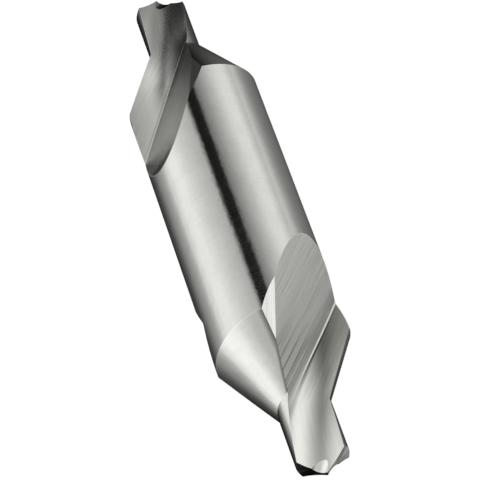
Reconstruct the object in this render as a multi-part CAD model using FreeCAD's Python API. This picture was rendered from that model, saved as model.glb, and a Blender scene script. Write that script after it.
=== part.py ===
import FreeCAD, Part
import math
import os
from FreeCAD import Placement, Rotation, Vector

# Centre drill: a double-ended combined drill and countersink, ground from one rod. Millimetres and degrees.
# The tool's axis is X, with the origin on the axis at mid-length. Each end is drawn in its own frame, whose
# Z runs along the axis towards the point and whose X passes through a cutting corner of the countersink.

# Driving dimensions of the blank
overall_length = 73.2
body_diameter = 16.0
pilot_diameter = 6.3
pilot_length = 8.75
countersink_angle = 60.0
point_angle = 124.0

# Driving dimensions of the countersink's lands, which are backed off behind their cutting edges
land_relief_shift = 0.55
land_relief_direction = 47.5

# Driving dimensions of the helical flute
flute_lead = 98.7
flute_radius = 4.48
core_at_tip = 0.66
core_taper = 0.188

# Driving dimensions of the flat ground on the heel of each land, and of the narrow facet beside it
heel_azimuth = 25.0
heel_tilt = 21.8
facet_offset = 1.95
facet_skew = 3.8
facet_tilt = 23.0

# Rounding left by the wheel's corner, where the heel's flat meets the channel
root_fillet = 0.22

# Driving dimensions of the point's flanks and of the gashes that thin its web
flank_relief = 20.0
gash_radius = 1.2
gash_slope = 44.0
gash_depth = 0.36
web_after_gash = 0.42

# Angle from a cutting corner of the first end to one of the second, seen from the first
second_end_angle = 163.3

# Room that each cutter has beyond the metal, and how far its round bottom turns up each side
overcut = 4.0
edge_side_turn = 120.0
heel_side_turn = 90.0
flute_stations = 12

body_radius = body_diameter / 2
pilot_radius = pilot_diameter / 2
tip_z = overall_length / 2
pilot_z = tip_z - pilot_length
countersink_length = (body_radius - pilot_radius) / math.tan(math.radians(countersink_angle / 2))
corner_z = pilot_z - countersink_length
axis_z = Vector(0, 0, 1)


def polar(radius, angle, z=0.0):
    """A point at an angle round the tool's axis."""
    return Vector(radius * math.cos(math.radians(angle)), radius * math.sin(math.radians(angle)), z)


def half_turn(shape):
    """The same feature on the opposite land."""
    return shape.rotated(Vector(0, 0, 0), axis_z, 180)


def box_on_plane(origin, normal, along, width_left, width_right, length_back, length_ahead, height):
    """A block that stands on a plane: along runs with its length, and left is normal x along."""
    frame = Rotation(along, normal.cross(along), normal, "XZY")
    block = Part.makeBox(length_back + length_ahead, width_left + width_right, height)
    block.translate(Vector(-length_back, -width_right, 0))
    block.Placement = Placement(origin, frame).multiply(block.Placement)
    return block


# The flute's law: a round channel whose axis winds about the tool while the core grows from the point

def half_core(z):
    return core_at_tip / 2 + core_taper / 2 * (tip_z - z)


def channel_distance(z):
    return half_core(z) + flute_radius


def angle_to_edge(radius, z):
    """Angle from the channel's middle to where it meets a round of this radius."""
    middle = channel_distance(z)
    cosine = (middle**2 + radius**2 - flute_radius**2) / (2 * middle * radius)
    return math.degrees(math.acos(cosine))


def channel_angle(z):
    """The cutting corner of the countersink lies at angle zero."""
    return angle_to_edge(body_radius, corner_z) + (z - corner_z) * 360 / flute_lead


def cutting_edge_angle(radius, z):
    return channel_angle(z) - angle_to_edge(radius, z)


def heel_angle(radius, z):
    return channel_angle(z) + angle_to_edge(radius, z)


def edge_cone_radius(radius, z):
    """Radius of the shifted cone that passes through the cutting edge."""
    angle = math.radians(cutting_edge_angle(radius, z) - land_relief_direction)
    along = radius**2 + land_relief_shift**2 - 2 * radius * land_relief_shift * math.cos(angle)
    return math.sqrt(along)


def round_bar(radius, length):
    """A bar along the axis, with its seam in a flute."""
    return Part.makeCylinder(radius, length).rotated(Vector(0, 0, 0), axis_z, land_relief_direction)


def land_blank():
    """One land with half of the body: its cone's axis is shifted, so the land falls away behind its edge."""
    cone_at_corner = edge_cone_radius(body_radius, corner_z)
    cone_at_pilot = edge_cone_radius(pilot_radius, pilot_z)
    slope = (cone_at_corner - cone_at_pilot) / countersink_length
    apex_z = corner_z + cone_at_corner / slope
    cone = Part.makeCone(apex_z * slope, 0, apex_z)
    cone.rotate(Vector(0, 0, 0), axis_z, land_relief_direction)
    cone.translate(polar(land_relief_shift, land_relief_direction))
    body = round_bar(body_radius, apex_z).common(cone)
    side = land_relief_direction - 90
    half = box_on_plane(Vector(0, 0, 0), polar(1, side), axis_z, body_diameter, body_diameter,
                        overcut, tip_z + overcut, body_diameter)
    return body.fuse(round_bar(pilot_radius, tip_z)).common(half)


def end_blank():
    land = land_blank()
    return land.fuse(half_turn(land))


def flute_section(z):
    """The channel across the tool: a round bottom whose sides open outwards."""
    middle = channel_distance(z)

    def wall(turn):
        return Vector(middle - flute_radius * math.cos(math.radians(turn)),
                      flute_radius * math.sin(math.radians(turn)), z)

    right, bottom, left = wall(-edge_side_turn), wall(0), wall(heel_side_turn)
    right_top = Vector(body_diameter + flute_radius, right.y, z)
    left_top = Vector(body_diameter + flute_radius, left.y, z)
    wire = Part.Wire([
        Part.LineSegment(right_top, right).toShape(),
        Part.Arc(right, bottom, left).toShape(),
        Part.LineSegment(left, left_top).toShape(),
        Part.LineSegment(left_top, right_top).toShape(),
    ])
    return wire.rotated(Vector(0, 0, 0), axis_z, channel_angle(z))


# The heel's plane starts at the flute's heel on the pilot, where the countersink begins

heel_point = polar(pilot_radius, heel_angle(pilot_radius, pilot_z), pilot_z)
heel_normal = polar(math.cos(math.radians(heel_tilt)), heel_azimuth, math.sin(math.radians(heel_tilt)))
heel_across = axis_z.cross(heel_normal).normalize()
heel_uphill = heel_across.cross(heel_normal)
plane_reach = 2 * body_diameter + overall_length / 2


def winding_channel():
    first = -overcut
    last = tip_z + overcut
    step = (last - first) / (flute_stations - 1)
    return Part.makeLoft([flute_section(first + index * step) for index in range(flute_stations)], True)


def root_point(z):
    """Where the channel meets the heel's plane, at one height."""
    centre = polar(channel_distance(z), channel_angle(z), z)
    drop = (centre - heel_point).dot(heel_normal) / math.cos(math.radians(heel_tilt))
    reach = math.sqrt(flute_radius**2 - drop**2)
    return centre - polar(drop, heel_azimuth) - heel_across * reach


def open_side():
    """The room beyond the channel, where the heel's flat runs out of the land."""
    near = root_point(pilot_z)
    along = (root_point(corner_z) - near).normalize()
    start = near + heel_normal.cross(along) * (flute_radius / 4) - heel_normal * overcut
    block = box_on_plane(start, heel_normal, along, body_diameter, 0,
                         body_diameter, plane_reach, body_diameter)
    behind_pilot = Part.makeCylinder(plane_reach, plane_reach, Vector(0, 0, heel_point.z - plane_reach))
    return block.common(behind_pilot)


def flute():
    """The channel and the open side, kept above the heel's plane."""
    kept_land = box_on_plane(heel_point, heel_normal.negative(), heel_uphill, plane_reach, plane_reach,
                             plane_reach, plane_reach, plane_reach)
    return winding_channel().fuse(open_side()).cut(kept_land)


def heel_facet():
    """The narrow facet that slopes off the heel's flat towards the back of the land."""
    along = Rotation(heel_normal, facet_skew).multVec(heel_uphill)
    start = heel_point + heel_across * facet_offset
    normal = Rotation(along, -facet_tilt).multVec(heel_normal)
    return box_on_plane(start, normal, along, body_diameter, 0, 0, plane_reach, plane_reach)


# The point: each flank holds its lip and falls away behind it

point_drop = 1 / math.tan(math.radians(point_angle / 2))
lip_angle = cutting_edge_angle(pilot_radius, tip_z - pilot_radius * point_drop)
lip_out = polar(1, lip_angle)
lip_back = polar(1, lip_angle - 90)


def point_flank():
    rise = lip_out * point_drop + lip_back * math.tan(math.radians(flank_relief)) + axis_z
    normal = rise.normalize()
    along = lip_back.cross(normal).normalize()
    return box_on_plane(Vector(0, 0, tip_z), normal, along, body_radius, body_radius,
                        body_radius, body_radius, body_radius)


def web_gash():
    """A round groove along the lip that leaves a short chisel edge."""
    slope = math.radians(gash_slope)
    along = lip_out * math.sin(slope) - axis_z * math.cos(slope)
    middle = axis_z * (tip_z - gash_depth) - lip_back * (web_after_gash / 2 + gash_radius)
    start = middle - along * body_radius
    return Part.makeCylinder(gash_radius, 2 * body_radius, start, along)


def end_cutters():
    """Everything that is ground out of one end, on both of its lands."""
    one_side = [flute(), heel_facet(), point_flank(), web_gash()]
    return one_side + [half_turn(cutter) for cutter in one_side]


def half_turn_direction(direction):
    return Vector(-direction.x, -direction.y, direction.z)


def second_end_direction(direction):
    return Rotation(polar(1, second_end_angle / 2), 180).multVec(direction)


def to_second_end(shape):
    """The other end is the same, turned end for end about a line across the tool."""
    return shape.rotated(Vector(0, 0, 0), polar(1, second_end_angle / 2), 180)


def is_heel_flat(face):
    if not isinstance(face.Surface, Part.Plane):
        return False
    normal = face.Surface.Axis
    directions = [heel_normal, half_turn_direction(heel_normal)]
    directions += [second_end_direction(direction) for direction in directions]
    return any(abs(normal.dot(direction)) > 0.999999 for direction in directions)


def root_edges(shape):
    """The edges that a heel's flat shares with a channel."""
    edges = []
    for face in shape.Faces:
        if is_heel_flat(face):
            for edge in face.Edges:
                beside = shape.ancestorsOfType(edge, Part.Face)
                if any(isinstance(other.Surface, Part.BSplineSurface) for other in beside):
                    edges.append(edge)
    return edges


def centre_drill():
    first = end_blank()
    blank = first.fuse(to_second_end(first)).removeSplitter()
    for cutter in end_cutters():
        blank = blank.cut(cutter)
        blank = blank.cut(to_second_end(cutter))
    ground = blank.removeSplitter()
    return ground.makeFillet(root_fillet, root_edges(ground))


def lay_along_x(shape):
    """From an end's frame, whose Z is the axis, to the tool's frame, whose X is."""
    return shape.rotated(Vector(0, 0, 0), Vector(1, 1, 1), 120)


if __name__ == "__main__":
    os.makedirs("parts", exist_ok=True)
    lay_along_x(centre_drill()).exportStep("parts/centre_drill.step")
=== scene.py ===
import math

import bpy
import numpy as np
from mathutils import Matrix, Vector


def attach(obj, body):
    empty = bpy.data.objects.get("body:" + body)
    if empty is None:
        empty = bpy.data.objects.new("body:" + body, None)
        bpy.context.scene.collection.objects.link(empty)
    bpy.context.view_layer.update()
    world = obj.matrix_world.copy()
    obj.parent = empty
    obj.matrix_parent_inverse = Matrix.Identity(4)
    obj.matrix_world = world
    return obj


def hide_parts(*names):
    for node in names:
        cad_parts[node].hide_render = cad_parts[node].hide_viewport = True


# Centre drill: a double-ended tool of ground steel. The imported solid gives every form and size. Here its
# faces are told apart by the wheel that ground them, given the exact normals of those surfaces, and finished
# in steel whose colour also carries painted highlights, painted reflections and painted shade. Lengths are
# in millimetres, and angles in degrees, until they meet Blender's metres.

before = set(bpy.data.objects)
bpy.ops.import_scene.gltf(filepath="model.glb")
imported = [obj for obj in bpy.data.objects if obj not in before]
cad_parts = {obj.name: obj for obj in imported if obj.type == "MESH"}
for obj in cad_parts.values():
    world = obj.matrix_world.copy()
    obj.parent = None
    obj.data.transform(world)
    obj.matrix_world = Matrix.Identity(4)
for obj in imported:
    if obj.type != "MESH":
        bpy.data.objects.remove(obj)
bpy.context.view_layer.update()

MM = 0.001

# The tool's own sizes, as its source has them
overall_length = 73.2
body_diameter = 16.0
pilot_diameter = 6.3
pilot_length = 8.75
countersink_angle = 60.0
point_angle = 124.0
land_relief_shift = 0.55
land_relief_direction = 47.5
flute_lead = 98.7
flute_radius = 4.48
core_at_tip = 0.66
core_taper = 0.188
heel_azimuth = 25.0
heel_tilt = 21.8
facet_offset = 1.95
facet_skew = 3.8
facet_tilt = 23.0
flank_relief = 20.0
gash_radius = 1.2
gash_slope = 44.0
gash_depth = 0.36
web_after_gash = 0.42
second_end_angle = 163.3

body_radius = body_diameter / 2
pilot_radius = pilot_diameter / 2
tip_z = overall_length / 2
pilot_z = tip_z - pilot_length
half_cone = math.radians(countersink_angle / 2)
countersink_length = (body_radius - pilot_radius) / math.tan(half_cone)
corner_z = pilot_z - countersink_length
flute_turn = math.radians(360 / flute_lead)
axis_z = np.array([0.0, 0.0, 1.0])

# Half a turn about the axis, which takes one land to the other
other_land = np.array([-1.0, -1.0, 1.0])


# One end's own frame: Z runs to the point and X passes through a cutting corner

def polar(radius, angle, z=0.0):
    return np.array([radius * math.cos(math.radians(angle)), radius * math.sin(math.radians(angle)), z])


def unit(vector):
    return vector / np.linalg.norm(vector)


def turned(vector, axis, angle):
    """A vector turned about an axis of length one."""
    turn = math.radians(angle)
    kept = axis * vector.dot(axis)
    return kept + (vector - kept) * math.cos(turn) + np.cross(axis, vector) * math.sin(turn)


def channel_middle(z):
    """How far the middle of the channel's round lies from the tool's axis."""
    return core_at_tip / 2 + core_taper / 2 * (tip_z - z) + flute_radius


def angle_to_edge(radius, z):
    """The angle from the channel's middle to where it meets a round of this radius."""
    middle = channel_middle(z)
    return math.degrees(math.acos((middle**2 + radius**2 - flute_radius**2) / (2 * middle * radius)))


corner_channel_angle = angle_to_edge(body_radius, corner_z)


def channel_angle(z):
    return corner_channel_angle + (z - corner_z) * 360 / flute_lead


def cutting_edge_angle(radius, z):
    return channel_angle(z) - angle_to_edge(radius, z)


def edge_cone_radius(radius, z):
    """The radius of the shifted cone that passes through the cutting edge."""
    angle = math.radians(cutting_edge_angle(radius, z) - land_relief_direction)
    return math.sqrt(radius**2 + land_relief_shift**2 - 2 * radius * land_relief_shift * math.cos(angle))


cone_at_corner = edge_cone_radius(body_radius, corner_z)
cone_slope = (cone_at_corner - edge_cone_radius(pilot_radius, pilot_z)) / countersink_length
cone_centre = polar(land_relief_shift, land_relief_direction)

heel_point = polar(pilot_radius, channel_angle(pilot_z) + angle_to_edge(pilot_radius, pilot_z), pilot_z)
heel_normal = polar(math.cos(math.radians(heel_tilt)), heel_azimuth, math.sin(math.radians(heel_tilt)))
heel_across = unit(np.cross(axis_z, heel_normal))
heel_uphill = np.cross(heel_across, heel_normal)
facet_along = turned(heel_uphill, heel_normal, facet_skew)
facet_normal = turned(heel_normal, facet_along, -facet_tilt)
facet_start = heel_point + heel_across * facet_offset

point_drop = 1 / math.tan(math.radians(point_angle / 2))
lip_angle = cutting_edge_angle(pilot_radius, tip_z - pilot_radius * point_drop)
lip_out = polar(1, lip_angle)
lip_back = polar(1, lip_angle - 90)
flank_normal = unit(lip_out * point_drop + lip_back * math.tan(math.radians(flank_relief)) + axis_z)
gash_turn = math.radians(gash_slope)
gash_along = lip_out * math.sin(gash_turn) - axis_z * math.cos(gash_turn)
gash_middle = axis_z * (tip_z - gash_depth) - lip_back * (web_after_gash / 2 + gash_radius)


# The root, where the channel meets the heel's flat

def root_place(z):
    centre = polar(channel_middle(z), channel_angle(z), z)
    drop = (centre - heel_point) @ heel_normal / math.cos(math.radians(heel_tilt))
    return centre - polar(drop, heel_azimuth) - heel_across * math.sqrt(flute_radius**2 - drop**2)


def root_wall(z):
    """How far up the channel's wall the root lies, from the channel's bottom."""
    off = root_place(z) - polar(channel_middle(z), channel_angle(z), z)
    out = polar(1, channel_angle(z))
    side = polar(1, channel_angle(z) + 90)
    return math.atan2(off @ side, -(off @ out)) * flute_radius


root_start = root_place(pilot_z)
root_along = unit(root_place(corner_z) - root_start)
root_across = unit(np.cross(heel_normal, root_along))
root_climb = (root_wall(corner_z) - root_wall(pilot_z)) / (corner_z - pilot_z)


# No length that something is divided by counts as shorter than this
shortest = 1e-12


def unit_rows(vectors):
    return vectors / np.maximum(np.linalg.norm(vectors, axis=1), shortest)[:, None]


# The surfaces that the wheels leave on one land. Each takes points in an end's frame, and gives how far they
# are from it and its outward normals there.

def round_about(points, centre, radius):
    normals = np.zeros_like(points)
    normals[:, :2] = points[:, :2] - centre[:2]
    return np.linalg.norm(normals, axis=1) - radius, unit_rows(normals)


def plane_surface(points, start, normal):
    return (points - start) @ normal, np.repeat(normal[None, :], len(points), axis=0)


def body_surface(points):
    return round_about(points, np.zeros(3), body_radius)


def pilot_surface(points):
    return round_about(points, np.zeros(3), pilot_radius)


def cone_surface(points):
    radius = cone_at_corner - cone_slope * (points[:, 2] - corner_z)
    distance, normals = round_about(points, cone_centre, radius)
    normals[:, 2] = cone_slope
    return distance * math.cos(half_cone), unit_rows(normals)


def channel_surface(points):
    z = points[:, 2]
    angle = np.radians(channel_angle(z))
    out = np.stack([np.cos(angle), np.sin(angle)], axis=1)
    side = np.stack([-out[:, 1], out[:, 0]], axis=1)
    middle = channel_middle(z)[:, None]
    off = points[:, :2] - out * middle
    winding = side * (middle * flute_turn) - out * (core_taper / 2)
    normals = np.zeros_like(points)
    normals[:, :2] = -unit_rows(off)
    normals[:, 2] = -np.sum(normals[:, :2] * winding, axis=1)
    return flute_radius - np.linalg.norm(off, axis=1), unit_rows(normals)


def heel_surface(points):
    return plane_surface(points, heel_point, heel_normal)


def facet_surface(points):
    return plane_surface(points, facet_start, facet_normal)


def flank_surface(points):
    return plane_surface(points, axis_z * tip_z, flank_normal)


def gash_surface(points):
    off = points - gash_middle
    off = off - (off @ gash_along)[:, None] * gash_along
    return gash_radius - np.linalg.norm(off, axis=1), -unit_rows(off)


surfaces = {
    "body": body_surface,
    "pilot": pilot_surface,
    "cone": cone_surface,
    "channel": channel_surface,
    "heel": heel_surface,
    "facet": facet_surface,
    "flank": flank_surface,
    "gash": gash_surface,
}

# What lies on none of them is the rounding of the root
regions = list(surfaces) + ["root"]


def turn_end(vectors, second):
    """The second end's vectors turned end for end, into the first end's frame or out of it."""
    across = polar(1, second_end_angle / 2)
    swapped = 2 * (vectors @ across)[:, None] * across - vectors
    return np.where(second[:, None], swapped, vectors)


def to_end(points):
    """From the tool's frame, with X along it, to the nearer end's, and which points are the second end's."""
    second = points[:, 0] < 0
    return turn_end(points[:, [1, 2, 0]], second), second


def from_end(vectors, second):
    return turn_end(vectors, second)[:, [2, 0, 1]]


# How far corners may lie off a surface, what a face's turn away from it counts, and when a face is a sliver
off_surface = 0.006
facing_weight = 0.5
sliver_height = 0.004

# Corners closer than this are joined
weld_reach = 0.0005


def told_apart(corners, ends, second, face_normals, heights):
    """The region of each face, which is the surface that its corners lie on and that faces as it does, and
    the surface's normals at its corners. A sliver has no direction of its own worth heeding, so there the
    corners alone decide."""
    best = np.full(len(corners), off_surface)
    region = np.full(len(corners), len(surfaces))
    normals = np.zeros((len(corners), 3, 3))
    for index, surface in enumerate(surfaces.values()):
        for land in (np.ones(3), other_land):
            distance, outward = surface(ends * land)
            outward = from_end(outward * land, second)[corners]
            turned_away = 1.0 - np.sum(face_normals * outward.mean(axis=1), axis=1)
            score = np.abs(distance)[corners].max(axis=1)
            score = score + np.where(heights > sliver_height, turned_away * facing_weight, 0.0)
            better = score < best
            best[better] = score[better]
            region[better] = index
            normals[better] = outward[better]
    return region, normals


def finished_copy(node):
    """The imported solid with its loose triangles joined, its faces sorted and its surfaces' own normals."""
    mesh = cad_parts[node].data.copy()
    piece = bpy.data.objects.new("ground_" + node, mesh)
    bpy.context.scene.collection.objects.link(piece)
    weld = piece.modifiers.new("weld", "WELD")
    weld.merge_threshold = weld_reach * MM
    joined = bpy.data.meshes.new_from_object(piece.evaluated_get(bpy.context.evaluated_depsgraph_get()))
    piece.modifiers.clear()
    piece.data = joined
    joined.materials.clear()
    joined.polygons.foreach_set("use_smooth", [True] * len(joined.polygons))
    places = np.zeros(len(joined.vertices) * 3)
    joined.vertices.foreach_get("co", places)
    places = places.reshape(-1, 3) / MM
    corners = np.array([list(face.vertices) for face in joined.polygons])
    sides = places[corners]
    spans = np.cross(sides[:, 1] - sides[:, 0], sides[:, 2] - sides[:, 0])
    longest = np.linalg.norm(sides - np.roll(sides, 1, axis=1), axis=2).max(axis=1)
    heights = np.linalg.norm(spans, axis=1) / np.maximum(longest, shortest)
    ends, second = to_end(places)
    region, normals = told_apart(corners, ends, second, unit_rows(spans), heights)
    root = region == len(surfaces)
    blended = np.zeros_like(places)
    for corner in range(3):
        np.add.at(blended, corners[root, corner], spans[root])
    normals[root] = unit_rows(blended)[corners[root]]
    return piece, region, normals.reshape(-1, 3)


# Shader maths, written as expressions on sockets

class Field:
    def __init__(self, tree, socket=None):
        self.tree = tree
        self.socket = socket

    def node(self, kind, settings=None, output=0, **links):
        """Any node: its settings first, then a value or a link for each input, by name or as i0, i1."""
        made = self.tree.nodes.new(kind)
        for key, value in (settings or {}).items():
            if key == "stops":
                elements = made.color_ramp.elements
                while len(elements) < len(value):
                    elements.new(1.0)
                for element, (place, level) in zip(elements, value):
                    element.position = place
                    element.color = (level, level, level, 1.0)
            else:
                setattr(made, key, value)
        for name, value in links.items():
            by_place = name[1:].isdigit()
            target = made.inputs[int(name[1:]) if by_place else name.replace("_", " ")]
            if isinstance(value, Field):
                self.tree.links.new(value.socket, target)
            else:
                target.default_value = value
        return Field(self.tree, made.outputs[output] if len(made.outputs) else None)

    def math(self, operation, *others):
        values = {"i%d" % index: value for index, value in enumerate((self,) + others)}
        return self.node("ShaderNodeMath", {"operation": operation}, **values)

    def __add__(self, other):
        return self.math("ADD", other)

    def __sub__(self, other):
        return self.math("SUBTRACT", other)

    def __mul__(self, other):
        return self.math("MULTIPLY", other)

    def __truediv__(self, other):
        return self.math("DIVIDE", other)

    def __neg__(self):
        return self.math("MULTIPLY", -1.0)

    def __radd__(self, other):
        return self.math("ADD", other)

    def __rmul__(self, other):
        return self.math("MULTIPLY", other)

    def __rsub__(self, other):
        return self.node("ShaderNodeMath", {"operation": "SUBTRACT"}, i0=other, i1=self)

    def __rtruediv__(self, other):
        return self.node("ShaderNodeMath", {"operation": "DIVIDE"}, i0=other, i1=self)

    def ramp(self, low, high, out_low=0.0, out_high=1.0):
        """A soft step between two places, from one level to another."""
        return self.node("ShaderNodeMapRange", {"interpolation_type": "SMOOTHSTEP"},
                         Value=self, From_Min=low, From_Max=high, To_Min=out_low, To_Max=out_high)

    def hypot(self, other):
        return (self * self + other * other).math("SQRT")

    def noise(self, detail, roughness=0.5, scale=1.0):
        """A noise whose input is this vector."""
        return self.node("ShaderNodeTexNoise", Vector=self, Scale=scale, Detail=detail, Roughness=roughness)

    def in_millimetres(self):
        stretch = (1 / MM, 1 / MM, 1 / MM)
        return self.node("ShaderNodeVectorMath", {"operation": "MULTIPLY"}, i0=self, i1=stretch)

    def dot(self, direction):
        return self.node("ShaderNodeVectorMath", {"operation": "DOT_PRODUCT"}, "Value", i0=self,
                         i1=tuple(float(part) for part in direction))

    def above(self, start, normal):
        """How far this place lies above a plane."""
        return self.dot(normal) - float(start @ normal)

    def parts(self):
        """A vector's own three numbers."""
        apart = self.node("ShaderNodeSeparateXYZ", Vector=self)
        return [Field(self.tree, output) for output in apart.socket.node.outputs]


def from_parts(x, y, z):
    return x.node("ShaderNodeCombineXYZ", X=x, Y=y, Z=z)


def near(distance, width):
    """One on an edge, falling to nothing a little way from it."""
    return distance.math("ABSOLUTE").ramp(0.0, width, 1.0, 0.0)


def larger(one, other):
    return one.math("MAXIMUM", other)


def blend(first, last, share):
    """From the first value to the last, as a share goes from nothing to one."""
    return first + (last - first) * share


def blank_material(name):
    material = bpy.data.materials.new(name)
    material.use_nodes = True
    material.node_tree.nodes.clear()
    return material, material.node_tree


def end_fields(tree):
    """Places and distances in millimetres, from Object coordinates folded so that both ends and both lands
    share one frame. The side runs across the channel from its middle, the wall along its round from its
    bottom, and the roof is the point's two flanks. The others are distances off the surface they name."""
    place = Field(tree).node("ShaderNodeTexCoord", output="Object").in_millimetres()
    x, y, z = place.parts()
    second = x.math("LESS_THAN", 0.0)
    double = math.radians(second_end_angle)
    end_x = blend(y, y * math.cos(double) + z * math.sin(double), second)
    end_y = blend(z, y * math.sin(double) - z * math.cos(double), second)
    along = x.math("ABSOLUTE")
    turn = along * flute_turn + math.radians(channel_angle(0.0))
    cosine, sine = turn.math("COSINE"), turn.math("SINE")
    out = end_x * cosine + end_y * sine
    land = out.math("SIGN")
    side = (end_y * cosine - end_x * sine) * land
    inward = channel_middle(0.0) - along * (core_taper / 2) - out.math("ABSOLUTE")
    folded = from_parts(end_x * land, end_y * land, along)
    relief = math.radians(land_relief_direction)
    cone_land = (end_x * math.sin(relief) - end_y * math.cos(relief)).math("SIGN")
    cone_reach = (end_x * cone_land - float(cone_centre[0])).hypot(end_y * cone_land - float(cone_centre[1]))
    point = axis_z * tip_z
    return {
        "place": place,
        "folded": folded,
        "second": second,
        "along": along,
        "radius": end_x.hypot(end_y),
        "azimuth": z.math("ARCTAN2", y),
        "side": side,
        "wall": side.math("ARCTAN2", inward) * flute_radius,
        "channel": inward.hypot(side) - flute_radius,
        "cone": cone_reach + along * cone_slope - (cone_at_corner + cone_slope * corner_z),
        "heel": folded.above(heel_point, heel_normal),
        "facet": folded.above(facet_start, facet_normal),
        "from_root": folded.above(root_start, root_across),
        "roof": larger(folded.above(point, flank_normal), folded.above(point, flank_normal * other_land)),
    }


# Ground steel: its own tone, that of a painted highlight on an edge, and the most that the colour may reach
steel_tone = 0.74
edge_highlight_tone = 0.95
brightest = 0.98
green_of_red = 1.004
blue_of_red = 0.955

# For each surface: roughness, how far the marks change its tone, and their depth in millimetres
finishes = {
    "body": (0.09, 0.09, 0.0035),
    "pilot": (0.12, 0.1, 0.0015),
    "cone": (0.19, 0.1, 0.003),
    "channel": (0.4, 0.32, 0.0035),
    "heel": (0.38, 0.34, 0.009),
    "root": (0.35, 0.2, 0.001),
    "facet": (0.16, 0.5, 0.004),
    "flank": (0.12, 1.4, 0.004),
    "gash": (0.2, 0.2, 0.002),
}

# Surfaces that are turned round the tool's axis, whose marks run round it
turned_regions = ("body", "pilot", "cone")

# How close a surface's marks lie, fine and coarse: their number a millimetre across and along, and the step
# from the first end's pattern to the second's
turned_marks = ((5.0, 0.35, 3.1), (0.4, 0.5, 5.3))
channel_marks = ((4.5, 0.25, 5.7), (1.1, 0.06, 2.9))
flat_marks = ((1 / 0.15, 1 / 9.0, 7.3), (1 / 0.9, 1 / 30.0, 7.3))
point_marks = ((1 / 0.15, 1 / 1.5, 7.3), (1 / 0.9, 1 / 4.0, 7.3))
streak_marks = (1 / 0.3, 1 / 40.0, 7.3)

# The noise of fine and coarse marks: its detail, its roughness, and the levels that become 0 and 1
fine_noise = (4.0, 0.65, 0.25, 0.75)
coarse_noise = (3.0, 0.6, 0.3, 0.7)

# The weight of the coarse marks in the bump, on turned surfaces and on the others
coarse_bump_turned = 1.6
coarse_bump = 1.3


def pattern(fields, across, along, closeness, detail, roughness, low, high):
    """A noise drawn out by how close its marks lie across and along."""
    close_across, close_along, end_step = closeness
    place = from_parts(across * close_across, along * close_along, fields["second"] * end_step)
    return place.noise(detail, roughness).ramp(low, high)


def mark_directions(fields, region):
    """A place across and along the marks of a surface's wheel, and how close they lie. In the countersinks
    the channel's marks run as the root does, and on the pilots they wind with the channel."""
    along, folded = fields["along"], fields["folded"]
    if region in turned_regions:
        return along, fields["azimuth"] * body_radius, turned_marks
    if region == "channel":
        skew = (along.math("MINIMUM", pilot_z) - pilot_z) * root_climb
        return fields["wall"] - skew, along, channel_marks
    if region in ("flank", "gash"):
        return folded.dot(unit(np.cross(flank_normal, lip_out))), folded.dot(lip_out), point_marks
    if region == "facet":
        return folded.dot(unit(np.cross(facet_normal, facet_along))), folded.dot(facet_along), flat_marks
    return folded.dot(root_across), folded.dot(root_along), flat_marks


def marks(fields, region):
    """The marks that a surface's wheel left, fine and coarse, from 0 to 1."""
    across, along, (fine, coarse) = mark_directions(fields, region)
    fine = pattern(fields, across, along, fine, *fine_noise)
    coarse = pattern(fields, across, along, coarse, *coarse_noise)
    return fine, coarse


# How wide the painted highlights on the ground edges are: on most surfaces, beside a cutting edge, round the
# pilot, round a flat and beside the root
edge_width = 0.1
cutting_edge_width = 0.07
pilot_edge_width = 0.06
flat_edge_width = 0.14
root_edge_width = 0.28

# How bright the painted highlights on the cone's blunt corner and the root's rounding are, and how much of
# the painted highlights the second end loses
corner_highlight = 0.35
rounding_highlight = 0.6
second_end_edge_highlight_loss = 0.7
second_end_root_highlight_loss = 0.3

# Soft steps, as two places and the levels there: along the tool beside the root and where the pilot starts,
# and across the channel towards its cutting side
root_edge_step = (18.0, 27.5, 0.8, 0.4)
pilot_edge_step = (pilot_z - 0.1, pilot_z)
cutting_side_step = (-0.6, 0.0, 1.0, 0.0)


def edges(fields, region):
    """Painted highlights, one on the ground edges where they catch the light."""
    second, along = fields["second"], fields["along"]
    off_body, off_pilot = fields["radius"] - body_radius, fields["radius"] - pilot_radius
    if region == "body":
        return near(fields["cone"], edge_width) * corner_highlight
    if region == "pilot":
        return near(fields["channel"], cutting_edge_width) * (1.0 - second * second_end_edge_highlight_loss)
    if region == "cone":
        cutting = near(fields["channel"], cutting_edge_width) * fields["side"].ramp(*cutting_side_step)
        return larger(cutting, near(off_body, edge_width) * corner_highlight)
    if region == "heel":
        beside_root = near(fields["from_root"], root_edge_width) * along.ramp(*root_edge_step)
        return larger(near(off_body, flat_edge_width), beside_root * (1.0 - second * second_end_root_highlight_loss))
    if region == "channel":
        round_pilot = near(off_pilot, pilot_edge_width) * along.ramp(*pilot_edge_step)
        lip = near(fields["roof"], edge_width) * (1.0 - second * second_end_edge_highlight_loss)
        return larger(near(off_body, edge_width), larger(round_pilot, lip))
    if region == "gash":
        return near(fields["roof"], edge_width) * (1.0 - second)
    if region == "root":
        return rounding_highlight - second * second_end_root_highlight_loss
    return near(off_pilot, pilot_edge_width)


# The heel's flat is brighter than the rest, a painted highlight. On the second end it carries painted shade
# instead: darkest in the ragged runout, then less and less bright towards the pilot, and brighter again
# where it ends. These steps run along the tool.
flat_highlight_tone = 1.32
ragged_fine = 0.6
ragged_coarse = 0.5
runout_step = (9.5, 10.1, 0.26, 1.0)
fading_step = (10.0, 25.0, 0.74, 0.34)
flat_end_step = (21.5, 25.0, 1.0, 1.45)

# The flat's painted shade beside the root, with what the second end loses of it, and its dark streaks. These
# steps run across the flat from the root, and the streaks' start along the tool.
flat_shade_step = (0.2, 2.4, 0.42, 0.0)
beside_root_loss = 0.6
streak_noise = (2.0, 0.5, 0.42, 0.6)
streak_start_step = (16.0, 22.5)
streak_reach_step = (7.0, 3.0)
streak_strength = 0.5


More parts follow.
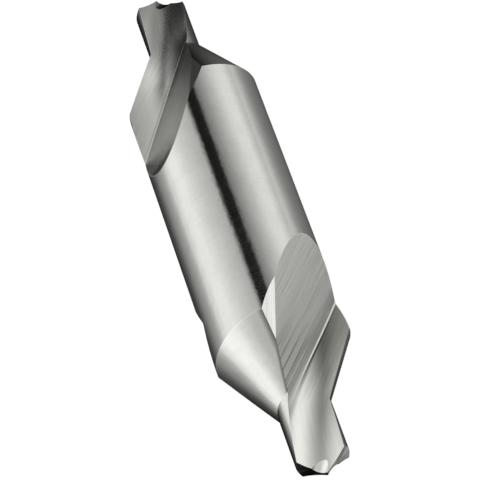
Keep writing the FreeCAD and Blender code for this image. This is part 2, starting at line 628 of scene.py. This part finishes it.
def heel_tone(fields, fine, coarse):
    along, second, folded, from_root = (fields[name] for name in ("along", "second", "folded", "from_root"))
    ragged = along + coarse * ragged_coarse + fine * ragged_fine
    # Painted light and shade along the second end's flat
    painted_second_flat = ragged.ramp(*runout_step) * along.ramp(*fading_step) * along.ramp(*flat_end_step)
    # Painted shade beside the root
    shade = from_root.ramp(*flat_shade_step) * (1.0 - second * beside_root_loss)
    streaks = pattern(fields, folded.dot(root_across), folded.dot(root_along), streak_marks, *streak_noise)
    streaks = streaks * along.ramp(*streak_start_step) * from_root.ramp(*streak_reach_step) * streak_strength
    # A painted highlight on the first end's flat, painted light and shade on the second's
    return blend(flat_highlight_tone, painted_second_flat, second) * (1.0 - shade) * (1.0 - streaks)


# The channel's tone on each end before its painted shades, lighter on the first end and darker on the
# second, and the bands of painted reflection that wind up it: where across the channel they lie at a place
# along the tool, and how far across they move in a millimetre along
first_channel_tone = 1.12
second_channel_tone = 0.85
dark_reflection_band = (-1.4, 29.0, 0.27)
dark_band_width = 2.0
dark_band_strength = 0.25
bright_reflection_band = (-0.35, 30.7, 0.25)
beside_band_strength = 0.45
countersink_strength = 0.48

# Steps of its painted light and shade along the tool
first_shade_step = (18.0, 27.5, 0.6, 0.0)
dark_band_step = (25.0, 29.0)
countersink_start_step = (18.0, 25.0)
countersink_end_step = (27.0, 30.0, 1.0, 0.0)
second_pilot_step = (23.0, 29.0)
bright_band_step = (22.5, 25.5)
spot_start_step = (22.0, 24.5)
spot_end_step = (24.5, 27.5, 0.8, 0.0)
beside_band_step = (29.5, 34.0)
root_line_step = (21.0, 27.5, 0.8, 0.35)
bright_pilot_step = (pilot_z - 4.0, pilot_z, 1.0, 1.08)

# Steps across the channel, from its middle or from the bright band of painted reflection
heel_side_step = (-0.8, 1.2)
pilot_side_step = (-1.6, 0.4, 0.42, 0.16)
outer_side_step = (-3.6, -1.4, 0.3, 0.0)
band_rise_step = (-1.6, 0.0)
band_fall_step = (0.1, 0.9, 1.0, 0.0)
beside_rise_step = (0.5, 1.5)

# The thin line of painted shade beside the root: how far above the flat's plane it lies, and its half width
root_line_place = 0.15
root_line_width = 0.22


def off_band(fields, across, place, climb):
    """How far to the side of a band that winds up the channel."""
    return fields["side"] - across - (fields["along"] - place) * climb


def first_channel(fields):
    """Painted shade towards the runout, with a soft dark band of painted reflection that winds up the pilot.
    """
    along = fields["along"]
    band = near(off_band(fields, *dark_reflection_band), dark_band_width) * along.ramp(*dark_band_step)
    return first_channel_tone - along.ramp(*first_shade_step) - band * dark_band_strength


def second_channel(fields):
    """Painted darker all over, most on its heel's side in the countersink and on its cutting side along the
    pilot, with a brighter band of painted reflection that winds up the bottom and a darker one beside it."""
    along, side = fields["along"], fields["side"]
    in_countersink = along.ramp(*countersink_start_step) * along.ramp(*countersink_end_step)
    in_countersink = side.ramp(*heel_side_step) * in_countersink * countersink_strength
    on_pilot = side.ramp(*pilot_side_step) * along.ramp(*second_pilot_step)
    off = off_band(fields, *bright_reflection_band)
    bright = off.ramp(*band_rise_step) * off.ramp(*band_fall_step) * along.ramp(*bright_band_step)
    spot = along.ramp(*spot_start_step) * along.ramp(*spot_end_step)
    dark = off.ramp(*beside_rise_step) * (along.ramp(*beside_band_step) + spot) * beside_band_strength
    tone = second_channel_tone - in_countersink - on_pilot
    return tone * (1.0 + side.ramp(*outer_side_step)) * (1.0 + bright - dark)


def channel_tone(fields):
    along, second = fields["along"], fields["second"]
    # A thin line of painted shade beside the root, and a little painted light along the pilot
    root_line = near(fields["heel"] - root_line_place, root_line_width) * along.ramp(*root_line_step)
    tone = blend(first_channel(fields), second_channel(fields), second)
    return tone * (1.0 - root_line * (1.0 - second * beside_root_loss)) * along.ramp(*bright_pilot_step)


# The painted shade on the cone beside the facet and the flat, on the heel's side only, with what the second
# end loses of it, and the flank's painted shade beside the channel
beside_facet_width = 0.55
beside_flat_width = 0.4
beside_flats_step = (0.0, 0.5)
beside_flats_shade = 0.7
beside_flats_loss = 0.45
flank_step = (0.0, 1.1, 0.62, 1.0)

# The painted light of small surfaces, and how much of it the second end's surfaces lose to painted shade
small_painted_tones = {"facet": 0.86, "gash": 1.25}
second_end_painted_shade = {"facet": 0.3, "pilot": 0.65, "gash": 0.8}


def tone_of(fields, region, fine, coarse):
    """How a surface's tone differs from plain steel, from place to place: its painted light and shade."""
    second = fields["second"]
    if region == "heel":
        return heel_tone(fields, fine, coarse)
    if region == "channel":
        return channel_tone(fields)
    if region == "flank":
        # Painted shade on the flank beside the channel
        return fields["channel"].ramp(*flank_step)
    if region == "cone":
        # Painted shade on the cone beside the facet and the flat
        beside_facet = near(fields["facet"], beside_facet_width)
        beside_flat = near(fields["heel"], beside_flat_width)
        shade = larger(beside_facet, beside_flat) * fields["side"].ramp(*beside_flats_step)
        return 1.0 - shade * (beside_flats_shade - second * beside_flats_loss)
    # Painted light on small surfaces, and painted shade on the second end's
    return small_painted_tones.get(region, 1.0) * (1.0 - second * second_end_painted_shade.get(region, 0.0))


# The share of the fine marks in the change of tone, on the heel's flat and elsewhere, how much of that
# change the second end loses, and how it fades along the tool where the channel reaches the pilot
fine_share_on_flat = 0.7
fine_share = 0.5
flat_marks_loss = 0.6
channel_marks_loss = 0.3
channel_marks_step = (pilot_z - 3.0, pilot_z + 1.0, 1.0, 0.45)


def mark_change(fields, region, fine, coarse):
    """The marks as a change of tone, from -0.5 to 0.5."""
    second = fields["second"]
    if region == "heel":
        return (blend(coarse, fine, fine_share_on_flat) - 0.5) * (1.0 - second * flat_marks_loss)
    change = blend(coarse, fine, fine_share) - 0.5
    if region == "channel":
        change = change * fields["along"].ramp(*channel_marks_step) * (1.0 - second * channel_marks_loss)
    return change


# What the marks and the painted edge highlights add to the roughness, how much smoother the second end's
# flutes are, and how much rougher the outer part of their cutting side is, by a step across the channel
mark_roughness = 0.25
edge_roughness = 0.08
second_end_polish = 0.13
outer_roughness = 0.35
outer_rough_step = (-4.2, -2.4, 1.0, 0.0)

# A slow shift of tone over the whole tool
shift_scale = 0.25
shift_detail = 3.0
shift_strength = 0.05


def finish_steel(region):
    """Ground steel for one kind of surface, with painted light, shade and highlights in its colour."""
    material, tree = blank_material("steel_" + region)
    fields = end_fields(tree)
    place, second = fields["place"], fields["second"]
    roughness, contrast, depth = finishes[region]
    fine, coarse = marks(fields, region)
    change = mark_change(fields, region, fine, coarse)
    edge = edges(fields, region)
    # The steel's tone, its marks, and the surface's painted light and shade
    level = (change * contrast + 1.0) * steel_tone * tone_of(fields, region, fine, coarse)
    # Painted highlights along the ground edges
    level = blend(level, edge_highlight_tone, edge)
    level = level + (place.noise(shift_detail, scale=shift_scale) - 0.5) * shift_strength
    level = level.math("MINIMUM", brightest)
    green, blue = level * green_of_red, level * blue_of_red
    colour = place.node("ShaderNodeCombineColor", Red=level, Green=green, Blue=blue)
    rough = change * (contrast * mark_roughness) + edge * edge_roughness + roughness
    if region in ("heel", "channel"):
        rough = rough - second * second_end_polish
    if region == "channel":
        rough = rough + fields["side"].ramp(*outer_rough_step) * second * outer_roughness
    height = fine + coarse * (coarse_bump_turned if region in turned_regions else coarse_bump)
    bump = place.node("ShaderNodeBump", Strength=1.0, Distance=depth * MM, Height=height)
    shader = place.node("ShaderNodeBsdfPrincipled", Base_Color=colour, Metallic=1.0, Roughness=rough,
                        Normal=bump)
    place.node("ShaderNodeOutputMaterial", Surface=shader)
    return material


drill, region, loop_normals = finished_copy("centre_drill")
for name in regions:
    drill.data.materials.append(finish_steel(name))
drill.data.polygons.foreach_set("material_index", region.astype(np.int32))
drill.data.normals_split_custom_set([tuple(normal) for normal in loop_normals])
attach(drill, "root")
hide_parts("centre_drill")


# The stage: a white floor, and just above it a card that only reflections see

floor_z = -body_radius
floor_drop = 0.02
floor_size = 6000
card_size = 20000


def stage_plane(name, size, z):
    half = size / 2 * MM
    corners = [(-half, -half, 0), (half, -half, 0), (half, half, 0), (-half, half, 0)]
    mesh = bpy.data.meshes.new(name)
    mesh.from_pydata(corners, [], [(0, 1, 2, 3)])
    plane = bpy.data.objects.new(name, mesh)
    plane.location = (0, 0, z * MM)
    bpy.context.scene.collection.objects.link(plane)
    return plane


# How much of the floor's white is its own light, which leaves the rest to the object's shadow, how bright
# that light is, and the level of its paint
floor_glow_share = 0.8
floor_glow = 1.17
floor_paint = 0.9


def white_floor():
    material, tree = blank_material("white_floor")
    start = Field(tree)
    white = start.node("ShaderNodeEmission", Color=(1, 1, 1, 1), Strength=floor_glow)
    paint = start.node("ShaderNodeBsdfDiffuse", Color=(floor_paint, floor_paint, floor_paint, 1))
    path = start.node("ShaderNodeLightPath").socket.node
    ray_kinds = ("Is Camera Ray", "Is Glossy Ray", "Is Transmission Ray")
    camera, glossy, through = (Field(tree, path.outputs[name]) for name in ray_kinds)
    seen = (camera + glossy + through).math("MINIMUM", 1.0) * floor_glow_share
    mixed = seen.node("ShaderNodeMixShader", i0=seen, i1=paint, i2=white)
    mixed.node("ShaderNodeOutputMaterial", Surface=mixed)
    return material


# The card's level by its distance from the tool, as a share of that distance plus the reach: from far on its
# left over the middle to far on its right
card_reach = 30.0
card_levels = [
    (-1.0, 0.98), (-0.87, 0.7), (-0.63, 0.42), (-0.5, 0.3), (-0.41, 0.15), (-0.35, 0.07), (-0.2, 0.006),
    (0.0, 0.003), (0.2, 0.05), (0.33, 0.17), (0.46, 0.25), (0.58, 0.37), (0.77, 0.62), (1.0, 0.72),
]

# It is darker in front on its right side, by steps along and across, and behind the second end, by how far
# to the side a place lies for its distance back
front_along_step = (14.0, 40.0, 1.0, 0.3)
front_across_step = (8.0, 20.0)
rear_middle = 20.0
rear_step = (0.3, 0.8, 0.05, 1.0)

# The light patch under the first end's tip: steps along and across, and its level
patch_along_step = (30.0, 36.0)
patch_start_step = (0.0, 4.0)
patch_end_step = (8.0, 20.0, 1.0, 0.0)
patch_level = 0.28


def by_share(share, levels, low, high):
    """A level by a share from 0 to 1, where the levels' own places run from low to high."""
    stops = [((place - low) / (high - low), level) for place, level in levels]
    return share.node("ShaderNodeValToRGB", {"stops": stops}, Fac=share)


def dark_card():
    """Dark along the tool and fading out to the sides."""
    material, tree = blank_material("dark_card")
    place = Field(tree).node("ShaderNodeTexCoord", output="Object").in_millimetres()
    x, y, _ = place.parts()
    away = y.math("ABSOLUTE")
    level = by_share(y / (away + card_reach) * 0.5 + 0.5, card_levels, -1.0, 1.0)
    front = 1.0 - (1.0 - x.ramp(*front_along_step)) * y.ramp(*front_across_step)
    rear = ((away + rear_middle) / larger(-x, 1.0)).ramp(*rear_step)
    patch = x.ramp(*patch_along_step) * y.ramp(*patch_start_step) * y.ramp(*patch_end_step) * patch_level
    level = (level * front + patch) * rear
    glow = level.node("ShaderNodeEmission", Strength=level)
    glow.node("ShaderNodeOutputMaterial", Surface=glow)
    return material


floor = stage_plane("floor", floor_size, floor_z - floor_drop)
floor.data.materials.append(white_floor())
card = stage_plane("dark_card", card_size, floor_z)
card.data.materials.append(dark_card())
card.visible_camera = False
card.visible_diffuse = False
card.visible_shadow = False

# The light tent: its brightness by the angle round the tool, in degrees from its right side over the top, as
# the body sees it and as the first end's cone does, and the share of it that the dark slot overhead leaves
tent_levels = [
    (-180.0, 1.0), (-160.0, 0.5), (-90.0, 0.1), (-30.0, 0.5), (0.0, 0.72), (18.0, 1.15), (32.0, 1.1),
    (45.0, 0.88), (62.0, 0.62), (88.0, 0.5), (105.0, 0.7), (130.0, 0.97), (155.0, 1.32), (170.0, 1.28),
    (180.0, 1.0),
]
front_levels = [
    (-180.0, 0.85), (-90.0, 0.1), (-20.0, 0.1), (0.0, 0.18), (17.0, 0.32), (35.0, 0.62), (55.0, 0.75),
    (75.0, 0.72), (92.0, 0.75), (110.0, 0.72), (130.0, 1.05), (148.0, 1.5), (165.0, 1.45), (180.0, 0.85),
]
slot_levels = [
    (-180.0, 1.0), (40.0, 1.0), (60.0, 0.9), (72.0, 0.62), (77.0, 0.4), (80.0, 0.04), (95.0, 0.02),
    (98.0, 0.45), (102.0, 1.0), (180.0, 1.0),
]

# Steps of the tent by how far a direction points towards the first end, from -1 to 1: the slot is only
# towards the second end, the body's light grows towards the first, the cone's takes over from it, and it is
# dark straight behind the second end
slot_reach_step = (-0.55, -0.35, 1.0, 0.0)
body_side_step = (-0.5, -0.15, 1.0, 1.35)
front_step = (0.1, 0.32)
behind_step = (-0.8, -0.66, 0.07, 1.0)


def light_tent():
    world = bpy.data.worlds.new("light_tent")
    world.use_nodes = True
    tree = world.node_tree
    tree.nodes.clear()
    x, y, z = Field(tree).node("ShaderNodeTexCoord", output="Generated").parts()
    angle = z.math("ARCTAN2", y) / (2 * math.pi) + 0.5
    tent, front, slot = (by_share(angle, levels, -180.0, 180.0)
                         for levels in (tent_levels, front_levels, slot_levels))
    slot = 1.0 - (1.0 - slot) * x.ramp(*slot_reach_step)
    tent = blend(tent * x.ramp(*body_side_step), front, x.ramp(*front_step))
    strength = tent * slot * x.ramp(*behind_step)
    glow = strength.node("ShaderNodeBackground", Strength=strength)
    glow.node("ShaderNodeOutputWorld", Surface=glow)
    bpy.context.scene.world = world


light_tent()

# The camera, where the photograph was taken from: its place in millimetres, and which way is right and up
camera_place = (210.56, 8.09, 283.53)
right = Vector((0.2748, 0.9337, -0.2295)).normalized()
up = Vector((-0.7579, 0.3573, 0.5459)).normalized()
back = right.cross(up).normalized()
up = back.cross(right).normalized()

camera_data = bpy.data.cameras.new("camera")
camera_data.lens = 225.0
camera_data.sensor_width = 36.0
camera_data.clip_start = 0.01
camera_data.clip_end = 20.0
camera = bpy.data.objects.new("camera", camera_data)
rows = [(right[axis], up[axis], back[axis], camera_place[axis] * MM) for axis in range(3)]
camera.matrix_world = Matrix(rows + [(0.0, 0.0, 0.0, 1.0)])
bpy.context.scene.collection.objects.link(camera)
bpy.context.scene.camera = camera

bpy.context.scene.view_settings.view_transform = "Standard"
